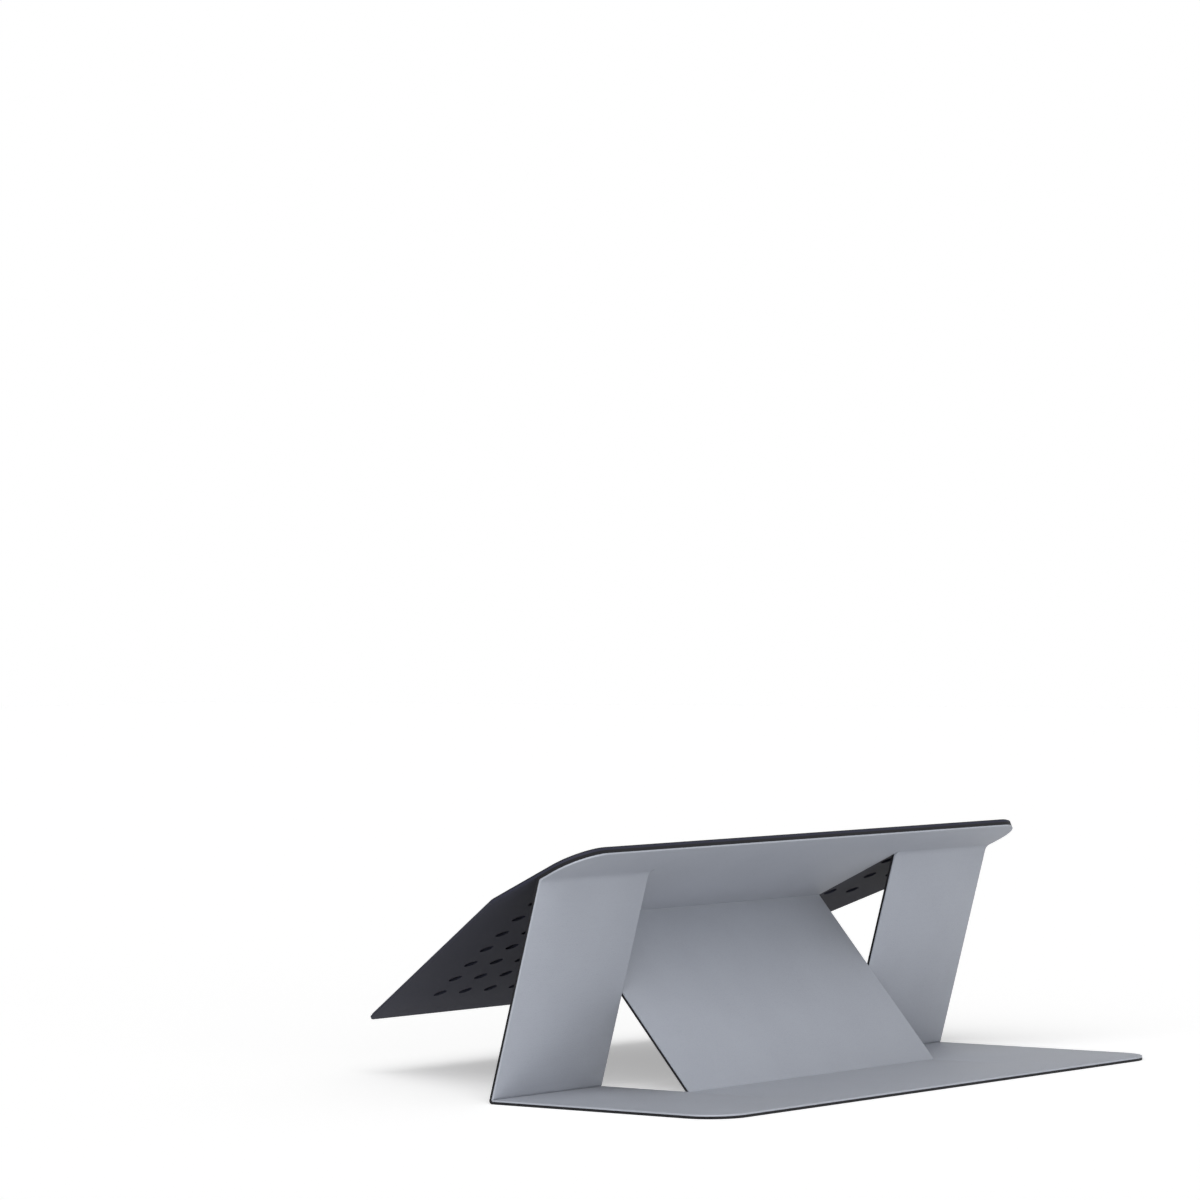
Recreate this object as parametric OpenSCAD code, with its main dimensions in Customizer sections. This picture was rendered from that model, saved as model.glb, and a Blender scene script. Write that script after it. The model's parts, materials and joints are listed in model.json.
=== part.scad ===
// Folding laptop stand that sticks to the underside of a laptop.
// A stiff perforated plate carries the adhesive pad. A thin sheet of stiff boards under one
// leather skin hangs from it and folds along four creases: the legs, a flat base and a middle flap.
// Millimetres. X runs along the creases, Y points to the front of the laptop, Z is up.
// The stand is drawn standing on its base, ready for use.

/* [Sheet] */
// Width of the sheet along the creases
sheet_w = 226; // [200:1:260]
// Length of the head strip, from the rear edge to the top crease
head_l = 17.5; // [14:0.5:30]
// Length of the bridge, and of the cut-out in the base
bridge_l = 33; // [24:0.5:44]
// Length of the legs and of the middle flap
leg_l = 67; // [58:0.5:80]
// Length of the base, from the foot crease to its free edge
base_l = 83; // [76:1:110]
// Width of the middle flap, measured between the centres of the two slits
flap_w = 125; // [90:1:150]
// Width of the gap that each slit leaves
slit_w = 0.5; // [0.3:0.1:1.5]
// Length by which each slit runs on into the base, past the flap's crease
slit_tail = 27; // [5:1:35]
// Radius of the sheet's outer corners
corner_r = 12; // [2:1:13]

/* [Layers] */
// Thickness of the leather skin
skin_t = 0.5; // [0.4:0.1:1]
// Thickness of the stiff boards
board_t = 0.8; // [0.8:0.1:2]
// Thickness of the perforated plate
plate_t = 0.7; // [0.7:0.1:2]
// Thickness of the adhesive pad
pad_t = 0.4; // [0.2:0.1:2]
// Gap between the closed panels and the plate
closing_gap = 0.2; // [0.1:0.1:1]

/* [Creases] */
// Bare leather on each side of a crease, from its axis to the edge of the board
crease_half = 0.5; // [0.4:0.1:1]

/* [Plate] */
// Depth of the plate, from its rear edge to its front edge
plate_l = 134; // [125:1:150]
// Length of the plate's parallel sides, behind the slanted ones
plate_side_l = 37; // [25:1:50]
// Width of the plate's front edge
plate_front_w = 135; // [110:1:160]
// Radius of the plate's slight corners, in front
plate_corner_r = 4; // [1:1:10]
// Diameter of a vent hole
hole_d = 4.4; // [2:0.2:6]
// Distance between neighbouring holes of a row
hole_pitch = 12; // [9:0.5:20]
// Distance between rows
row_pitch = 12.5; // [9:0.5:20]
// Distance from the front edge to the first row
first_row = 19; // [8:1:30]
// Least distance across from a hole's centre to the plate's side
hole_margin = 15; // [6:1:30]

/* [Adhesive pad] */
// Strip of plate left bare round the pad, so narrow that the pad shows as a black line
pad_margin = 0.5; // [0.3:0.1:8]

/* [Magnets] */
// Diameter of a sealed disc magnet
magnet_d = 8; // [4:0.5:9]
// Thickness of a magnet
magnet_t = 0.4; // [0.3:0.1:0.4]
// Distance of a magnet from the slit beside it
magnet_in = 11.5; // [7:0.5:14]
// Distance of the magnets from the foot crease
magnet_run = 10; // [8:1:14]
// Play between a magnet and its pocket
magnet_play = 0.1; // [0.05:0.05:0.3]

/* [Stance] */
// Angle of the laptop above the table
incline = 25; // [18:1:32]

/* [Hidden] */
$fn = 48;

// Colours, as the photograph shows them
leather_grey = [0.58, 0.60, 0.65];
crease_grey = [0.50, 0.52, 0.57];
board_black = [0.10, 0.10, 0.11];
plate_dark = [0.19, 0.19, 0.20];
pad_black = [0.07, 0.07, 0.08];
magnet_nickel = [0.70, 0.70, 0.68];

// Heights above a crease axis, which lies in the middle of the skin
skin_low = -skin_t / 2;
skin_top = skin_t / 2;
board_top = skin_top + board_t;
plate_low = board_top + closing_gap;
plate_top = plate_low + plate_t;

// Lengths across the sheet, measured from its middle
half_w = sheet_w / 2;
flap_edge = (flap_w - slit_w) / 2;
leg_edge = (flap_w + slit_w) / 2;
leg_w = half_w - leg_edge;
leg_x = (half_w + leg_edge) / 2;
magnet_x = flap_w / 2 + magnet_in;

// The legs, the bridge, the flap and the cut-out make a crossed four-bar linkage with equal
// opposite sides. Its half angles keep a fixed ratio of tangents, and the legs and the flap
// turn by half_turn from the table to the plate, so the incline alone gives both angles.
link_ratio = (leg_l + bridge_l) / (leg_l - bridge_l);
half_turn = (180 - incline) / 2;
leg_tan = (sqrt(pow(1 + link_ratio, 2) + 4 * link_ratio * pow(tan(half_turn), 2)) - 1 - link_ratio)
    / (2 * link_ratio * tan(half_turn));
leg_angle = 2 * atan(leg_tan);
flap_angle = 180 - incline - leg_angle;

// Places of the creases in the side view, with the middle of the whole stand at Y = 0
foot_z = board_top;
leg_slope = incline + leg_angle;
plate_front = plate_l - head_l;
reach_front = plate_front * cos(incline) + plate_top * sin(incline) - leg_l * cos(leg_slope);
foot_y = (base_l - reach_front) / 2;
top_y = foot_y - leg_l * cos(leg_slope);
top_z = foot_z + leg_l * sin(leg_slope);
flap_y = top_y + bridge_l * cos(incline);
flap_z = top_z - bridge_l * sin(incline);
flap_foot_y = foot_y - bridge_l;

// Length of overlap that lets one cut pass cleanly through
cut = 1;

// Each panel is drawn flat: X across, Y along the sheet away from its first crease, Z towards
// the board. These modules put it in its place.
module on_mount() {
    translate([0, top_y, top_z]) rotate([-incline, 0, 0]) children();
}

module on_legs() {
    translate([0, top_y, top_z]) rotate([-leg_slope, 0, 0]) children();
}

module on_base() {
    translate([0, foot_y, foot_z]) rotate([180, 0, 0]) children();
}

module on_flap() {
    translate([0, flap_y, flap_z]) rotate([-incline - flap_angle, 0, 0]) children();
}

// A flat layer between two heights
module layer(low, high) {
    translate([0, 0, low]) linear_extrude(high - low) children();
}

function unit(v) = v / norm(v);
function corner_angle(a, p, b) = acos(unit(a - p) * unit(b - p));
function corner_run(a, p, b, r) = r / tan(corner_angle(a, p, b) / 2);
function corner_centre(a, p, b, r) =
    p + unit(unit(a - p) + unit(b - p)) * r / sin(corner_angle(a, p, b) / 2);

// The two points where a rounded corner's arc begins and ends, or the corner itself
function corner_ends(a, p, b, r) = r > 0
    ? [p + unit(a - p) * corner_run(a, p, b, r), p + unit(b - p) * corner_run(a, p, b, r)]
    : [p];

// A convex outline with a true arc at each corner that has a radius
module rounded_outline(points, radii) {
    n = len(points);
    before = [for (i = [0 : n - 1]) points[(i + n - 1) % n]];
    after = [for (i = [0 : n - 1]) points[(i + 1) % n]];
    polygon([
        for (i = [0 : n - 1])
            for (q = corner_ends(before[i], points[i], after[i], radii[i])) q
    ]);
    for (i = [0 : n - 1])
        if (radii[i] > 0) {
            centre = corner_centre(before[i], points[i], after[i], radii[i]);
            ends = corner_ends(before[i], points[i], after[i], radii[i]);
            intersection() {
                translate(centre) circle(r = radii[i]);
                polygon([centre, ends[0], points[i], ends[1]]);
            }
        }
}

// A strip across the sheet from one length to another
module strip(half, from, to) {
    translate([-half, from]) square([2 * half, to - from]);
}

// Outline of the head strip with its bridge
module head_outline() {
    rounded_outline(
        [[-half_w, -head_l], [half_w, -head_l], [half_w, -crease_half], [-half_w, -crease_half]],
        [corner_r, corner_r, 0, 0]
    );
    strip(flap_edge, -crease_half - cut, bridge_l - crease_half);
}

// Outline of one leg, on its own side
module leg_outline() {
    translate([-leg_w / 2, crease_half]) square([leg_w, leg_l - 2 * crease_half]);
}

// Outline of the base, with the flap's cut-out and the slits that run on past it
module base_outline() {
    difference() {
        rounded_outline(
            [[-half_w, crease_half], [half_w, crease_half], [half_w, base_l], [-half_w, base_l]],
            [0, 0, corner_r, corner_r]
        );
        strip(leg_edge, -cut, bridge_l + crease_half);
        for (side = [-1, 1])
            translate([side * flap_w / 2 - slit_w / 2, bridge_l]) square([slit_w, slit_tail]);
    }
}

// Outline of the middle flap
module flap_outline() {
    strip(flap_edge, crease_half, leg_l - crease_half);
}

// Outline of the plate, drawn in by a margin all round
module plate_outline(inset) {
    front_half = plate_front_w / 2;
    slant = atan2(half_w - front_half, plate_l - plate_side_l);
    // The slanted side moves in by the margin, measured square to it
    kink = plate_side_l - head_l - inset * tan(slant / 2);
    front_in = front_half - inset / cos(slant) + inset * tan(slant);
    rear = -head_l + inset;
    rear_r = corner_r - inset;
    rounded_outline(
        [[-half_w + inset, rear], [half_w - inset, rear], [half_w - inset, kink],
         [front_in, plate_front - inset], [-front_in, plate_front - inset], [-half_w + inset, kink]],
        [rear_r, rear_r, plate_corner_r, plate_corner_r, plate_corner_r, plate_corner_r]
    );
}

// Half the plate's width at a distance from the top crease
function plate_half(run) =
    run < plate_side_l - head_l ? half_w
    : half_w - (half_w - plate_front_w / 2) * (run - plate_side_l + head_l) / (plate_l - plate_side_l);

// Centres of the vent holes: rows from the front edge back, every other row half a pitch over.
// The head strip and the bridge are bonded over solid plate, so no hole lies under them.
row_n = floor((plate_front - first_row - hole_d) / row_pitch);
holes = [
    for (row = [0 : row_n])
        let (run = plate_front - first_row - row * row_pitch,
             over = row % 2 == 0 ? hole_pitch / 2 : 0,
             reach = floor((plate_half(run) - hole_margin - over) / hole_pitch))
        for (i = [-reach - (row % 2 == 0 ? 1 : 0) : reach])
            let (x = over + i * hole_pitch)
            if (run > bridge_l + hole_d / 2 || abs(x) > leg_edge + hole_d / 2 + cut) [x, run]
];

// A magnet's place on a sheet that is drawn flat from its first crease
module at_magnet(side, run) {
    translate([side * magnet_x, run, 0]) children();
}

magnet_on_plate = leg_l + magnet_run;

module mounting_plate() {
    color(plate_dark) on_mount() difference() {
        layer(plate_low, plate_top) plate_outline(0);
        for (h = holes)
            translate([h.x, h.y, plate_low - cut]) cylinder(d = hole_d, h = plate_t + 2 * cut);
        for (side = [-1, 1])
            at_magnet(side, magnet_on_plate)
                translate([0, 0, plate_top - magnet_t])
                cylinder(d = magnet_d + 2 * magnet_play, h = magnet_t + cut);
    }
}

module adhesive_pad() {
    color(pad_black) on_mount() layer(plate_top, plate_top + pad_t) plate_outline(pad_margin);
}

module plate_magnet(side) {
    color(magnet_nickel) on_mount() at_magnet(side, magnet_on_plate)
        translate([0, 0, plate_top - magnet_t]) cylinder(d = magnet_d, h = magnet_t);
}

module base_magnet(side) {
    color(magnet_nickel) on_base() at_magnet(side, magnet_run)
        translate([0, 0, skin_top]) cylinder(d = magnet_d, h = magnet_t);
}

// The head board fills the whole height between the skin and the plate
module head_board() {
    color(board_black) on_mount() layer(skin_top, plate_low) head_outline();
}

module head_skin() {
    color(leather_grey) on_mount() layer(skin_low, skin_top) head_outline();
}

module leg_board(side) {
    color(board_black) on_legs() translate([side * leg_x, 0, 0])
        layer(skin_top, board_top) leg_outline();
}

module leg_skin(side) {
    color(leather_grey) on_legs() translate([side * leg_x, 0, 0])
        layer(skin_low, skin_top) leg_outline();
}

module base_board() {
    color(board_black) on_base() difference() {
        layer(skin_top, board_top) base_outline();
        for (side = [-1, 1])
            at_magnet(side, magnet_run)
                translate([0, 0, skin_top - cut])
                cylinder(d = magnet_d + 2 * magnet_play, h = magnet_t + cut);
    }
}

module base_skin() {
    color(leather_grey) on_base() layer(skin_low, skin_top) base_outline();
}

module flap_board() {
    color(board_black) on_flap() layer(skin_top, board_top) flap_outline();
}

module flap_skin() {
    color(leather_grey) on_flap() layer(skin_low, skin_top) flap_outline();
}

// The bare leather at a crease: a web from the panel that carries it, with a round nose that
// lies on the crease axis. Reach is negative where the web comes from behind the crease.
module crease(half, reach) {
    color(crease_grey) {
        rotate([0, 90, 0]) cylinder(d = skin_t, h = 2 * half, center = true);
        translate([-half, min(reach, 0), skin_low]) cube([2 * half, abs(reach), skin_t]);
    }
}

module top_crease(side) {
    on_mount() translate([side * leg_x, 0, 0]) crease(leg_w / 2, -crease_half);
}

module flap_top_crease() {
    on_mount() translate([0, bridge_l, 0]) crease(flap_edge, -crease_half);
}

module foot_crease(side) {
    on_legs() translate([side * leg_x, leg_l, 0]) crease(leg_w / 2, -crease_half);
}

module flap_foot_crease() {
    on_base() translate([0, bridge_l, 0]) crease(flap_edge, crease_half);
}

adhesive_pad();
mounting_plate();
plate_magnet(-1);  // plate_magnet_left
plate_magnet(1);  // plate_magnet_right
head_board();
head_skin();
top_crease(-1);  // top_crease_left
top_crease(1);  // top_crease_right
flap_top_crease();
leg_board(-1);  // left_leg_board
leg_skin(-1);  // left_leg_skin
leg_board(1);  // right_leg_board
leg_skin(1);  // right_leg_skin
foot_crease(-1);  // foot_crease_left
foot_crease(1);  // foot_crease_right
base_board();
base_skin();
base_magnet(-1);  // base_magnet_left
base_magnet(1);  // base_magnet_right
flap_foot_crease();
flap_board();
flap_skin();
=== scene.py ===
# %% [markdown]
# A folding laptop stand: one thin sheet of grey leather over black boards, which hangs from a
# perforated plate and folds into two legs, a flat base and a middle flap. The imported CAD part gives
# the size, the bodies and the hinges. This lesson dresses it: the leather is cut, pressed and folded
# anew, the folds get their backing, and every other node gets a finish of its own.

# %% Load the part
import json
import math

import bmesh
import bpy
import numpy as np
from mathutils import Matrix, Vector


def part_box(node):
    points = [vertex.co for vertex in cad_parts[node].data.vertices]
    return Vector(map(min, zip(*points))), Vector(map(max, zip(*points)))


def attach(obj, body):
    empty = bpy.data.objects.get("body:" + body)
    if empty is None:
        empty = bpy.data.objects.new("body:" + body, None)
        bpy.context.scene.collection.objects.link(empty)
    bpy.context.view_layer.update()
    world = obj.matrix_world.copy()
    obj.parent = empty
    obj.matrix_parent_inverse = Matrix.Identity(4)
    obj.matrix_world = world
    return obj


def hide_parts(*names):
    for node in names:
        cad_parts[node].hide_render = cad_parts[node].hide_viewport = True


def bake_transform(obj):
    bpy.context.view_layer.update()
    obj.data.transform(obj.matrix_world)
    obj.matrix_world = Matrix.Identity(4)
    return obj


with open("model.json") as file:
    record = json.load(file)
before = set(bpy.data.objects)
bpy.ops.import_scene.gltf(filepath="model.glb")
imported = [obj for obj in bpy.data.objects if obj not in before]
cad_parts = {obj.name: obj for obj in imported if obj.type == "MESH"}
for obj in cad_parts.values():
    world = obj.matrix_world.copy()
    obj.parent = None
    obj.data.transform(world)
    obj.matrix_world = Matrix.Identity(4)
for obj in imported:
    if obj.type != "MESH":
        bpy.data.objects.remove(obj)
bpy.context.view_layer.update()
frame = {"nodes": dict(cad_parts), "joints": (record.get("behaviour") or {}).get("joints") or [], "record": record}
bpy.ops.object.select_all(action="DESELECT")

# %% [markdown]
# The hinges say how the sheet is folded. Seen from the side, a line goes down the leg from the top
# crease to the foot crease, and back along the base to the flap's crease. The plate's tilt and these
# three points give the slope of each panel. A slope is the angle below the horizon of a panel's long
# direction, which runs from its first crease to its far end, and the boards are on its upper side.

# %% Where the creases are
mm = 0.001
crease = {joint["name"]: Vector(joint["pos_m"]) for joint in frame["joints"]}
top_crease, foot_crease, flap_crease = crease["leg_fold"], crease["base_fold"], crease["flap_fold"]
laptop_face = next(m for m in frame["record"]["mounts"] if m["name"] == "laptop_face")
incline = math.atan2(laptop_face["axis"][1], laptop_face["axis"][2])

leg_length = (foot_crease - top_crease).length
bridge_length = foot_crease.y - flap_crease.y
leg_slope = math.atan2(top_crease.z - foot_crease.z, foot_crease.y - top_crease.y)
base_slope = math.pi
bridge_end = top_crease + bridge_length * Vector((0, math.cos(incline), -math.sin(incline)))
flap_slope = math.atan2(bridge_end.z - flap_crease.z, flap_crease.y - bridge_end.y)
print("slopes:", [round(math.degrees(s), 2) for s in (incline, leg_slope, flap_slope)])
print("leg and bridge in mm:", round(leg_length / mm, 2), round(bridge_length / mm, 2))

# %% [markdown]
# The nodes' boxes give the sheet's width, the width of the flap and of the slits beside it, and the
# length of the base. The head strip's length is measured along its own slope. Boxes don't tell how
# thick skin and board are, how round the corners are, how wide half of a crease's bare leather is,
# and how far the slits run on past the flap's crease, so these lengths are named here.

# %% Sizes of the sheet
skin = 0.5 * mm
board = 0.8 * mm
corner = 12 * mm
bare_half = 0.5 * mm
slit_tail = 27 * mm
sheet_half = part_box("base_skin")[1].x
leg_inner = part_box("right_leg_skin")[0].x
flap_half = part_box("flap_skin")[1].x
base_length = foot_crease.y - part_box("base_skin")[0].y
head_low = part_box("head_skin")[0]
head_length = (top_crease.y - head_low.y - skin / 2 * math.sin(incline)) / math.cos(incline)
print("half widths in mm:", [round(v / mm, 2) for v in (sheet_half, leg_inner, flap_half)])
print("base and head in mm:", round(base_length / mm, 2), round(head_length / mm, 2))

# %% [markdown]
# Leather is cut flat on a bench and only then folded, and here too. A sheet starts as a plane, X
# across it and Y along it from its crease, with the boards' side up. It is scored into rows, cut
# out, given its thickness and its soft rim, and the rows of a crease are turned a little more one
# after another. At the end the whole piece is carried to its place on the stand. These helpers
# are the tools of that bench.

# %% Tools for a flat sheet
grey_side = -skin / 2
same_place = 0.01 * mm


def cut_sheet(name, left, right, near, far, height=grey_side):
    """Starts a flat piece on the bench, in edit mode. Leather lies with its grey side down."""
    bpy.ops.object.select_all(action="DESELECT")
    middle = ((left + right) / 2, (near + far) / 2, height)
    bpy.ops.mesh.primitive_plane_add(size=1, location=middle)
    piece = bpy.context.object
    piece.name = piece.data.name = name
    piece.scale = (right - left, far - near, 1)
    bpy.ops.object.transform_apply(location=True, rotation=True, scale=True)
    bpy.ops.object.mode_set(mode="EDIT")
    return piece


def choose(kind, rule):
    """Selects the points, edges or faces whose middle passes a rule, and says how many."""
    bpy.ops.mesh.select_mode(type=kind)
    bpy.ops.mesh.select_all(action="DESELECT")
    shape = bmesh.from_edit_mesh(bpy.context.object.data)
    parts = {"VERT": shape.verts, "EDGE": shape.edges, "FACE": shape.faces}[kind]
    found = 0
    for part in parts:
        points = [part.co] if kind == "VERT" else [v.co for v in part.verts]
        middle = sum(points, Vector()) / len(points)
        if rule(middle, part):
            part.select_set(True)
            found += 1
    shape.select_flush_mode()
    bmesh.update_edit_mesh(bpy.context.object.data)
    return found


def score(axis, at):
    """Draws a line of edges across the whole sheet, square to X (0) or Y (1)."""
    point, square = Vector(), Vector()
    point[axis], square[axis] = at, 1
    bpy.ops.mesh.select_mode(type="VERT")
    bpy.ops.mesh.select_all(action="SELECT")
    bpy.ops.mesh.bisect(plane_co=point, plane_no=square)


def near_to(a, b):
    return abs(a - b) < same_place


# %% [markdown]
# Two cuts come back on more than one sheet. The stand's free corners are round, which one bevel of the
# flat sheet's corner points gives. And what a sheet doesn't need, such as the opening for the flap, is
# marked off by scored lines and then deleted as faces.

# %% Round corners and cut-outs
corner_segments = 14


def round_corners(rule):
    """Rounds the corners whose points pass a rule."""
    choose("VERT", rule)
    bpy.ops.mesh.bevel(offset=corner, segments=corner_segments, affect="VERTICES")


def cut_away(rule):
    """Takes the faces that pass a rule out of the sheet."""
    choose("FACE", rule)
    bpy.ops.mesh.delete(type="FACE")


# %% [markdown]
# The cut edge of coated leather isn't sharp: the coat is drawn over it a little, and it catches the
# light as a thin bright line. So the sheet is extruded to its thickness, and the edges of the
# grey side's rim get a small bevel, but not where two pieces of the sheet meet at a seam. An edge is
# on the rim if the angle between its two faces is above 1.2 radians, which is nearly a right angle.

# %% Thickness and rim
rim = 0.16 * mm
rim_segments = 3
rim_angle = 1.2


def thicken():
    """Extrudes the flat sheet to the leather's thickness, up from its grey side."""
    bpy.ops.mesh.select_mode(type="FACE")
    bpy.ops.mesh.select_all(action="SELECT")
    bpy.ops.mesh.extrude_region_move(TRANSFORM_OT_translate={"value": (0, 0, skin)})
    bpy.ops.mesh.select_all(action="SELECT")
    bpy.ops.mesh.normals_make_consistent(inside=False)


def soften_rim(seams):
    """Bevels the rim of the grey side, apart from the seams, which are given as lengths along Y."""

    def on_rim(middle, edge):
        low = all(near_to(v.co.z, grey_side) for v in edge.verts)
        square = len(edge.link_faces) == 2 and edge.calc_face_angle() > rim_angle
        along_seam = any(all(near_to(v.co.y, s) for v in edge.verts) for s in seams)
        return low and square and not along_seam

    count = choose("EDGE", on_rim)
    bpy.ops.mesh.bevel(offset=rim, segments=rim_segments, profile=0.5, affect="EDGES", clamp_overlap=True)
    print("rim edges softened:", count)


# %% [markdown]
# A crease is a strip of bare leather between two boards. Leather there is pressed a little thinner
# before it is folded. Rows of points are set close together over the strip, the middle ones are
# pressed in on the grey side, and then each row turns about the crease by its share of the angle.
# The table below gives each row's distance from the crease and how deep it is pressed, both in
# millimetres.

# %% Press and fold
seam = 1.0 * mm
smooth_below = math.radians(35)
pressed_rows = {-0.5: 0.02, -0.36: 0.06, -0.24: 0.09, -0.12: 0.1, 0: 0.1,
                0.12: 0.1, 0.24: 0.09, 0.36: 0.06, 0.5: 0.02}


def score_rows(at, rows):
    """Scores the rows of a crease, each given in mm from the crease."""
    for row in rows:
        score(1, at + row * mm)


def press_in(at, rows):
    """Moves the rows on the grey side in by their depths in mm, or out where a depth is negative."""
    for row, depth in rows.items():
        y = at + row * mm
        choose("VERT", lambda p, v: near_to(p.y, y) and p.z < grey_side / 2)
        bpy.ops.transform.translate(value=(0, 0, depth * mm))


def turn(angle, about):
    """Turns what is selected about a line along X. With no window the operator turns the other way."""
    bpy.ops.transform.rotate(value=angle, orient_axis="X", orient_type="GLOBAL", center_override=about)


def fold(at, angle, beyond, half=bare_half):
    """Folds the sheet about the crease at a length along Y.

    beyond is 1 to fold the far side and -1 to fold the near side.
    Points with the same share of the angle, to four places, are turned together.
    """
    shape = bmesh.from_edit_mesh(bpy.context.object.data)
    shares = {}
    for v in shape.verts:
        way = (beyond * (v.co.y - at) / half + 1) / 2
        t = min(1, max(0, way))
        share = t * t * (3 - 2 * t)
        if share > 0:
            shares.setdefault(round(share, 4), []).append(v.index)
    for share, indices in shares.items():
        wanted = set(indices)
        choose("VERT", lambda p, v: v.index in wanted)
        turn(share * angle, (0, at, 0))


def lay_in_place(piece, origin, slope):
    """Carries a finished piece from the bench to its place on the stand."""
    bpy.ops.mesh.select_all(action="SELECT")
    bpy.ops.mesh.normals_make_consistent(inside=False)
    bpy.ops.object.mode_set(mode="OBJECT")
    piece.rotation_euler = (-slope, 0, 0)
    piece.location = origin
    bpy.ops.object.transform_apply(location=True, rotation=True, scale=True)
    bpy.ops.object.shade_smooth_by_angle(angle=smooth_below)
    size = np.ptp([v.co for v in piece.data.vertices], axis=0) / mm
    print(piece.name, "has", len(piece.data.polygons), "faces and is", size.round(1), "mm")


# %% [markdown]
# The head strip and the bridge are one piece, glued flat to the plate. Its two rear corners are
# round. In front it is cut back to a narrow bridge, whose end is round because the flap's fold
# turns about it. That round is a bevel of the end's two long edges, by a hair less than half the
# thickness, so that they don't meet. The legs' leather joins the strip at a seam a little behind
# the top crease.

# %% Head strip and bridge
nose = skin / 2
nose_gap = 0.002 * mm
nose_segments = 6
top_seam = 2.2 * mm
bridge_tip = bridge_length + nose


def round_end(at):
    """Rounds the end of a sheet that lies at a length along Y."""
    choose("EDGE", lambda p, e: near_to(p.y, at) and abs(p.z) > nose / 2)
    bpy.ops.mesh.bevel(offset=nose - nose_gap, segments=nose_segments, affect="EDGES")


head = cut_sheet("head_leather", -sheet_half, sheet_half, -head_length, bridge_tip)
round_corners(lambda p, v: p.y < 0)
for x in (-flap_half, flap_half):
    score(0, x)
score(1, -top_seam)
cut_away(lambda p, f: abs(p.x) > flap_half and p.y > -top_seam)
thicken()
round_end(bridge_tip)
soften_rim(seams=[-top_seam, bridge_tip])
lay_in_place(head, top_crease, incline)
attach(head, "mount")
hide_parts("head_skin", "flap_top_crease")

# %% [markdown]
# Each leg's leather starts on the head strip, folds down over the top crease and ends just above
# the foot crease. It is modelled flat in line with the plate, and folded by the angle between plate
# and leg. This fold is the gentlest of all, and hardly shows: the leather keeps away from the
# corner and crosses it in a round. So the rows on the grey side are moved out to a low ridge, which
# is the round's arc once the leg is folded sharply. The ridge's rows are in millimetres too.

# %% Legs
leg_fold = leg_slope - incline
sharp_half = 0.1 * mm
round_half = 1.6
rows_each_side = 4
round_radius = round_half / math.tan(leg_fold / 2)
ridge_rows = {0: round_radius * (1 - 1 / math.cos(leg_fold / 2))}
for step in range(1, rows_each_side + 1):
    row = round(round_half * step / rows_each_side, 3)
    lift = round_radius - math.sqrt(round_radius ** 2 - (round_half - row) ** 2)
    ridge_rows[row] = ridge_rows[-row] = -lift
print("ridge at the top crease in mm:", {row: round(depth, 3) for row, depth in ridge_rows.items()})


def along(slope):
    """The direction of a panel on the stand, away from its first crease."""
    return Vector((0, math.cos(slope), -math.sin(slope)))


def bend_between(piece, origin, first_slope, second_slope, reach=None):
    """Bakes a piece's place into its mesh. The line that halves its fold is worked out but not used."""
    way = (along(first_slope) + along(second_slope)).normalized()
    if reach is None:
        reach = bare_half * math.cos((second_slope - first_slope) / 2)
    origin - reach * way
    origin + reach * way
    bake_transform(piece)


legs = []
for side, name in ((-1, "left"), (1, "right")):
    edges = sorted((side * leg_inner, side * sheet_half))
    leg = cut_sheet(f"{name}_leg_leather", *edges, -top_seam, leg_length - seam)
    score_rows(0, ridge_rows)
    thicken()
    soften_rim(seams=[-top_seam, leg_length - seam])
    press_in(0, ridge_rows)
    fold(0, leg_fold, 1, half=sharp_half)
    lay_in_place(leg, top_crease, incline)
    bend_between(leg, top_crease, incline, leg_slope)
    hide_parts(f"{name}_leg_skin", f"top_crease_{name}")
    legs.append(leg)

# %% [markdown]
# The base is the widest piece. It takes the two foot creases with it, up to the seam on the legs.
# The opening that the flap leaves is open at the front and ends at the flap's seam. The two slits
# beside the flap run on into the base as thin cuts. The free corners are round like those of the
# head strip.

# %% Base
foot_fold = base_slope - leg_slope
flap_seam = bridge_length + seam
slit_end = bridge_length + slit_tail
base = cut_sheet("base_leather", -sheet_half, sheet_half, -seam, base_length)
round_corners(lambda p, v: p.y > 0)
for x in (-leg_inner, -flap_half, flap_half, leg_inner):
    score(0, x)
score_rows(0, pressed_rows)
score(1, flap_seam)
score(1, slit_end)
cut_away(lambda p, f: abs(p.x) < flap_half and p.y < flap_seam)
cut_away(lambda p, f: flap_half < abs(p.x) < leg_inner and p.y < slit_end)
thicken()
soften_rim(seams=[-seam])
press_in(0, pressed_rows)
fold(0, -foot_fold, -1)
lay_in_place(base, foot_crease, base_slope)
bend_between(base, foot_crease, leg_slope, base_slope)
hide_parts("base_skin", "foot_crease_left", "foot_crease_right")

# %% [markdown]
# The flap rises from its crease in the base to the end of the bridge. Its own crease is at the
# bottom, where it joins the base's leather at a seam. At the top its end is round, and lies in the
# same round as the bridge's, so that the fold looks whole both when it stands and when it is shut.

# %% Flap
flap_fold = flap_slope - base_slope
flap_end = bridge_length - leg_length - nose
flap = cut_sheet("flap_leather", -flap_half, flap_half, flap_end, flap_seam)
score_rows(bridge_length, pressed_rows)
thicken()
round_end(flap_end)
soften_rim(seams=[flap_end, flap_seam])
press_in(bridge_length, pressed_rows)
fold(bridge_length, flap_fold, -1)
lay_in_place(flap, foot_crease, base_slope)
bend_between(flap, flap_crease, flap_slope, base_slope)
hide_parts("flap_skin", "flap_foot_crease")
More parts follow.
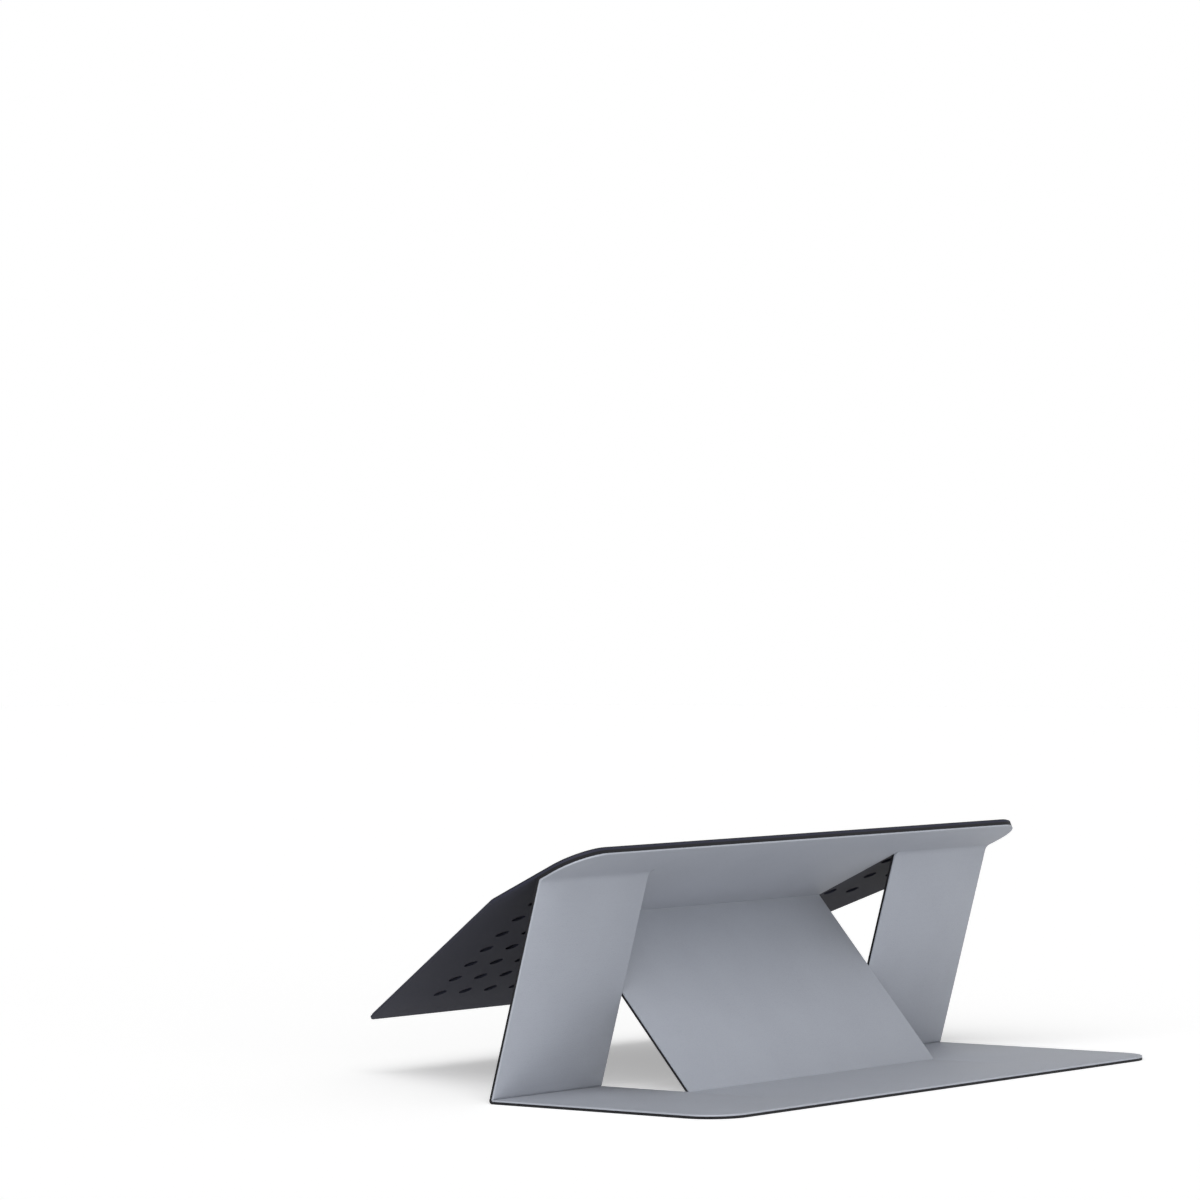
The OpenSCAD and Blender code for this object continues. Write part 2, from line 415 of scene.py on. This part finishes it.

# %% [markdown]
# Seen from the end, the dark backing of the sheet goes round each fold, so that the boards never
# gape. It is a soft sector about the crease, from inside the leather out to the boards' lined faces.
# A narrow plane is spun about the crease by the angle between the two boards, and a little further
# at each end, where it is tucked behind a board. A reach of one and a half times its own is worked
# out for it, but nothing bends it between its two bodies. At the end of the bridge no
# hinge joins the two bodies, so there each body carries its own half.

# %% Backing of the folds
backing_in = skin / 4
backing_out = skin / 2 + board
tuck = math.radians(8)
spin_step = math.radians(8)
merge_within = 0.001 * mm
gentle = 1.5
board_edge = math.atan2(backing_out, bare_half)


def gap_between(first_slope, second_slope):
    """The directions of the two boards' edges at a fold, as angles above the horizon, lower first."""
    return board_edge - second_slope - tuck, math.pi - board_edge - first_slope + tuck


def spin_backing(name, left, right, origin, low, high):
    """A sector of backing between two directions in the side view. The spin turns it downwards."""
    piece = cut_sheet(name, left, right, backing_in, backing_out, height=0)
    bpy.ops.mesh.select_all(action="SELECT")
    steps = round((high - low) / spin_step)
    bpy.ops.mesh.spin(steps=steps, angle=high - low, center=(0, 0, 0), axis=(1, 0, 0))
    bpy.ops.mesh.select_all(action="SELECT")
    bpy.ops.mesh.remove_doubles(threshold=merge_within)
    lay_in_place(piece, origin, -high)
    return piece


def bent_backing(name, left, right, origin, first, second, first_slope, second_slope):
    """A backing spun across a fold, from one board's edge to the other."""
    low, high = gap_between(first_slope, second_slope)
    piece = spin_backing(name, left, right, origin, low, high)
    reach = gentle * backing_out * math.sin((high - low) / 2)
    bend_between(piece, origin, first_slope, second_slope, reach)
    return piece


backings = []
for side, name in ((-1, "left"), (1, "right")):
    edges = sorted((side * leg_inner, side * sheet_half))
    backings.append(bent_backing(
        f"{name}_top_backing", *edges, top_crease, "mount", "legs", incline, leg_slope))
    backings.append(bent_backing(
        f"{name}_foot_backing", *edges, foot_crease, "legs", "base", leg_slope, base_slope))
backings.append(bent_backing(
    "flap_foot_backing", -flap_half, flap_half, flap_crease, "flap", "base", flap_slope, base_slope))

low, high = gap_between(incline, flap_slope)
halfway = (low + high) / 2
for name, body, start, end in (
        ("bridge_end_backing", "mount", halfway, high), ("flap_top_backing", "flap", low, halfway)):
    half = spin_backing(name, -flap_half, flap_half, bridge_end, start, end)
    backings.append(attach(half, body))

# %% [markdown]
# A finish is a small network of shader nodes. Two small classes keep it readable. A Value is the
# output of a node, and the usual arithmetic signs add Math nodes to it. A Finish is a material, and
# its method node adds any other node from its settings and its inputs. Colours are written as
# they look on a screen, from 0 to 255, and turned into the linear numbers that shaders use.

# %% Shader arithmetic
class Value:
    """The output of a shader node in an expression."""

    def __init__(self, finish, socket):
        self.finish, self.socket = finish, socket

    def _math(self, operation, first, second):
        return self.finish.node("Math", {"operation": operation}, {0: first, 1: second})

    def __add__(self, other):
        return self._math("ADD", self, other)

    def __sub__(self, other):
        return self._math("SUBTRACT", self, other)

    def __rsub__(self, other):
        return self._math("SUBTRACT", other, self)

    def __mul__(self, other):
        return self._math("MULTIPLY", self, other)

    __radd__ = __add__
    __rmul__ = __mul__

    def at_least(self, other):
        return self._math("MAXIMUM", self, other)


def screen_colour(red, green, blue):
    """A colour as seen on a screen, 0 to 255, as the four linear numbers of a socket."""
    parts = [v / 255 for v in (red, green, blue)]
    return [v / 12.92 if v <= 0.04045 else ((v + 0.055) / 1.055) ** 2.4 for v in parts] + [1]


class Finish:
    """A material under construction, with its Principled shader."""

    def __init__(self, name, constants=None):
        self.material = bpy.data.materials.new(name)
        self.material.use_nodes = True
        self.tree = self.material.node_tree
        self.shader = self.tree.nodes["Principled BSDF"]
        self.use(constants or {})

    def node(self, kind, settings=None, inputs=None, output=0):
        """Adds a node, makes its settings, feeds its inputs and returns one of its outputs."""
        made = self.tree.nodes.new("ShaderNode" + kind)
        for name, value in (settings or {}).items():
            setattr(made, name, value)
        for name, value in (inputs or {}).items():
            self.feed(made.inputs[name], value)
        return Value(self, made.outputs[output])

    def feed(self, socket, value):
        """Links a Value to a socket, or writes a plain number or colour there."""
        if isinstance(value, Value):
            self.tree.links.new(value.socket, socket)
        else:
            socket.default_value = value

    def use(self, feeds):
        """Feeds sockets of the shader."""
        for name, value in feeds.items():
            self.feed(self.shader.inputs[name], value)

    def place(self):
        """Where a point is on the stand, in metres."""
        return self.node("TexCoord", output="Object")

    def noise(self, size, detail=2, rough=0.5):
        """Cloudy noise from 0 to 1, with clouds of about that size."""
        return self.node("TexNoise", inputs={
            "Vector": self.place(), "Scale": 1 / size, "Detail": detail, "Roughness": rough})

    def between(self, share, low, high):
        """The colour between two colours, which a Mix node takes at 6 and 7 and gives at output 2."""
        return self.node("Mix", {"data_type": "RGBA"}, {0: share, 6: low, 7: high}, output=2)

    def bump(self, height, depth, under=None):
        """A bump of that depth in metres, perhaps on top of another."""
        inputs = {"Height": height, "Distance": depth, "Strength": 1.0}
        if under is not None:
            inputs["Normal"] = under
        return self.node("Bump", inputs=inputs)

    def ray_is_seen(self):
        """1 where the camera looks, also by way of a reflection or through glass, and 0 elsewhere."""
        kinds = ("Camera", "Glossy", "Transmission")
        camera_ray, glossy_ray, clear_ray = [
            self.node("LightPath", output=f"Is {kind} Ray") for kind in kinds]
        return camera_ray.at_least(glossy_ray).at_least(clear_ray)


# %% [markdown]
# The grey side is leather with a thin matt coat. Its grain is very fine: flat pebbles about half a
# millimetre across, parted by shallow furrows. The distance to the edge of a Voronoi cell gives the
# furrows, and a noise bends the cells so that they aren't too even. The colour drifts slightly in
# large clouds and is a little darker in the furrows, where the coat is also a bit rougher.

# %% Grey coated leather
def leather_finish():
    pebble_size, furrow_width = 0.55 * mm, 0.16
    bend_size, bend_reach = 1.4 * mm, 0.25 * mm
    cloud_size, pore_size = 18 * mm, 0.12 * mm
    finish = Finish("grey_coated_leather", {
        "IOR": 1.45, "Sheen Weight": 0.06, "Sheen Roughness": 0.4})
    bend = finish.node("TexNoise", inputs={
        "Vector": finish.place(), "Scale": 1 / bend_size, "Detail": 2.0}, output="Color")
    shift = finish.node("VectorMath", {"operation": "SCALE"}, {0: bend, "Scale": bend_reach})
    bent = finish.node("VectorMath", {"operation": "ADD"}, {0: finish.place(), 1: shift})
    cells = finish.node("TexVoronoi", {"feature": "DISTANCE_TO_EDGE"}, {
        "Vector": bent, "Scale": 1 / pebble_size, "Randomness": 0.9})
    pebble = finish.node("MapRange", {"interpolation_type": "SMOOTHSTEP"}, {
        "Value": cells, "From Max": furrow_width})
    clouds = finish.noise(cloud_size, detail=3)
    pores = finish.noise(pore_size, detail=1)
    tone = clouds * 0.75 + pebble * 0.25
    finish.use({
        "Base Color": finish.between(tone, screen_colour(145, 149, 158), screen_colour(157, 161, 170)),
        "Roughness": 0.62 - pebble * 0.08 + clouds * 0.06,
        "Normal": finish.bump(pores, 0.006 * mm, under=finish.bump(pebble, 0.02 * mm)),
    })
    return finish.material


leather = leather_finish()

# %% [markdown]
# The boards are lined with a thin black web on the side that lies against the plate when the stand
# is shut, and their cut edges are the same black. The web has a fine fibrous grain with no direction.
# It is matt, and slightly greyer where the fibres stand up.

# %% Black lining
def lining_finish():
    fibre_size, cloud_size = 0.3 * mm, 9 * mm
    finish = Finish("black_lining", {
        "Specular IOR Level": 0.12, "Sheen Weight": 0.04, "Sheen Roughness": 0.5})
    fibres = finish.noise(fibre_size, detail=5, rough=0.75)
    clouds = finish.noise(cloud_size, detail=2)
    tone = fibres * 0.8 + clouds * 0.2
    finish.use({
        "Base Color": finish.between(tone, screen_colour(18, 18, 20), screen_colour(36, 36, 39)),
        "Roughness": 0.72 + fibres * 0.12,
        "Normal": finish.bump(fibres, 0.04 * mm),
    })
    return finish.material


lining = lining_finish()

# %% [markdown]
# The plate is moulded plastic, dark grey with a cool tint, and has the fine sparkle of a textured
# mould. A small noise gives the texture, and a larger one the faint clouds that handling leaves.

# %% Textured plate
def plate_finish():
    texture_size, cloud_size = 0.35 * mm, 22 * mm
    finish = Finish("textured_plate", {"Specular IOR Level": 0.05})
    texture = finish.noise(texture_size, detail=3, rough=0.6)
    clouds = finish.noise(cloud_size, detail=3)
    tone = clouds * 0.7 + texture * 0.3
    finish.use({
        "Base Color": finish.between(tone, screen_colour(42, 43, 54), screen_colour(53, 54, 66)),
        "Roughness": 0.5 + clouds * 0.1 + texture * 0.06,
        "Normal": finish.bump(texture, 0.03 * mm),
    })
    return finish.material


# %% [markdown]
# The adhesive is a soft black film. It shines more than the plate, and lies in gentle waves with
# the fine pits of the foam that carries it.

# %% Adhesive film
def adhesive_finish():
    wave_size, pit_size = 14 * mm, 0.9 * mm
    finish = Finish("adhesive_film", {"Specular IOR Level": 0.12, "Coat Roughness": 0.25})
    waves = finish.noise(wave_size, detail=2)
    pits = finish.node("TexVoronoi", inputs={"Vector": finish.place(), "Scale": 1 / pit_size})
    finish.use({
        "Base Color": finish.between(waves, screen_colour(9, 9, 10), screen_colour(15, 15, 17)),
        "Roughness": 0.38 + waves * 0.16,
        "Coat Weight": 0.05 + waves * 0.1,
        "Normal": finish.bump(pits, 0.012 * mm, under=finish.bump(waves, 0.12 * mm)),
    })
    return finish.material


# %% [markdown]
# The magnets are thin nickel-plated discs. Their faces are tumbled bright, with small scratches in
# every direction, so the roughness varies in fine specks and clouds.

# %% Nickel plate
def nickel_finish():
    speck_size, cloud_size = 0.2 * mm, 3 * mm
    finish = Finish("nickel_plate", {"Metallic": 1.0})
    specks = finish.noise(speck_size, detail=4, rough=0.7)
    clouds = finish.noise(cloud_size)
    finish.use({
        "Base Color": finish.between(clouds, screen_colour(186, 182, 172), screen_colour(205, 202, 194)),
        "Roughness": 0.2 + specks * 0.2,
        "Normal": finish.bump(specks, 0.004 * mm),
    })
    return finish.material


# %% [markdown]
# Pieces modelled here get their one material. A node that stays as it was packed keeps its shape, and
# only the material in its slot changes, by what its name says it is. The skins and creases are hidden
# behind the new leather and get the leather too.

# %% Give every piece its finish
for piece in (head, *legs, base, flap):
    piece.data.materials.append(leather)
for piece in backings:
    piece.data.materials.append(lining)

finish_by_word = {"_board": lining, "plate": plate_finish(), "adhesive": adhesive_finish(),
                  "magnet": nickel_finish(), "_skin": leather, "crease": leather}
finished = 0
for name, node in frame["nodes"].items():
    material = [finish for word, finish in finish_by_word.items() if word in name][-1]
    for slot in node.material_slots:
        slot.material = material
    finished += 1
print("nodes with a finish:", finished, "of", len(frame["nodes"]))

# %% [markdown]
# The stand is shown on white. The floor is a large pale plane, and where nothing shades it the camera
# should see plain white, so the floor gives the camera a little light of its own. That way it still
# takes the stand's shadow. It is stage, and no part of the object. Part of the low lamp shines from a
# little under the horizon, so the floor itself stops no lamp's light.

# %% Floor
floor_size = 9.0
floor_tone = 246
floor_glow = 0.37
bpy.ops.object.select_all(action="DESELECT")
bpy.ops.mesh.primitive_plane_add(size=floor_size)
floor = bpy.context.object
floor.name = floor.data.name = "floor"
paper = Finish("white_floor", {"Roughness": 0.9, "Specular IOR Level": 0.0, "Emission Strength": 1.0})
paper.use({
    "Base Color": screen_colour(floor_tone, floor_tone, floor_tone),
    "Emission Color": paper.ray_is_seen() * floor_glow,
})
floor.data.materials.append(paper.material)
floor.visible_shadow = False

# %% [markdown]
# Two broad lamps far away light the side that the camera sees. The high one stands to the left and
# lights the base and the flap. The low one shines almost level from behind, in under the bridge and
# into the creases. A dim white room fills the rest. The world lights the object at a plain level, and
# shows pure white to the camera and in reflections.

# %% World and lamps
class Sky(Finish):
    """The world's own network of nodes, with its Background shader in place of a material's."""

    def __init__(self, name):
        world = bpy.data.worlds.new(name)
        world.use_nodes = True
        bpy.context.scene.world = world
        self.tree = world.node_tree
        self.shader = self.tree.nodes["Background"]


room_light = 0.2
room = Sky("white_room")
seen = room.ray_is_seen()
room.use({"Color": [1, 1, 1, 1], "Strength": seen + (1 - seen) * room_light})


def soft_lamp(name, place, width, strength):
    """A broad lamp, far away in that direction and as wide as that angle in degrees."""
    aim = (-Vector(place)).to_track_quat("-Z", "Y").to_euler()
    bpy.ops.object.light_add(type="SUN", location=place, rotation=aim)
    lamp = bpy.context.object
    lamp.name = name
    lamp.data.angle, lamp.data.energy = math.radians(width), strength
    print(name, "is", width, "degrees wide, at", strength, "W/m2")


soft_lamp("high_lamp", (-0.71, -0.41, 0.57), 60, 2.5)
soft_lamp("low_lamp", (-0.5, -0.86, -0.09), 50, 1.8)

# %% [markdown]
# The camera stands behind the stand, low and to the left, and looks almost level. Its place, heading
# and lens were fitted to the creases and corners of the stand in the photograph, with the stand's own
# sizes known. Heading is the angle from the front direction towards the right. The lens is worked out
# from the focal length in pixels, for a sensor 36 mm wide.

# %% Camera
camera_place = Vector((-1.2008, -0.9188, 0.1433))
heading, rise, roll = math.radians(51.198), math.radians(0.091), math.radians(-0.535)
frame_pixels = 1200
focal_pixels = 4917.6
sensor_width = 36
ahead = Vector((math.sin(heading) * math.cos(rise), math.cos(heading) * math.cos(rise), math.sin(rise)))
level = ahead.cross(Vector((0, 0, 1))).normalized()
upright = level.cross(ahead)
right = level * math.cos(roll) + upright * math.sin(roll)
up = upright * math.cos(roll) - level * math.sin(roll)
facing = Matrix((right, up, -ahead)).transposed().to_4x4()
bpy.ops.object.camera_add()
camera = bpy.context.object
camera.matrix_world = Matrix.Translation(camera_place) @ facing
camera.data.sensor_width = sensor_width
camera.data.lens = focal_pixels / frame_pixels * sensor_width
camera.data.clip_start, camera.data.clip_end = 0.05, 30
bpy.context.scene.camera = camera
bpy.context.scene.view_settings.view_transform = "Standard"
print("lens in mm:", round(camera.data.lens, 1), "distance in m:", round(camera_place.length, 3))
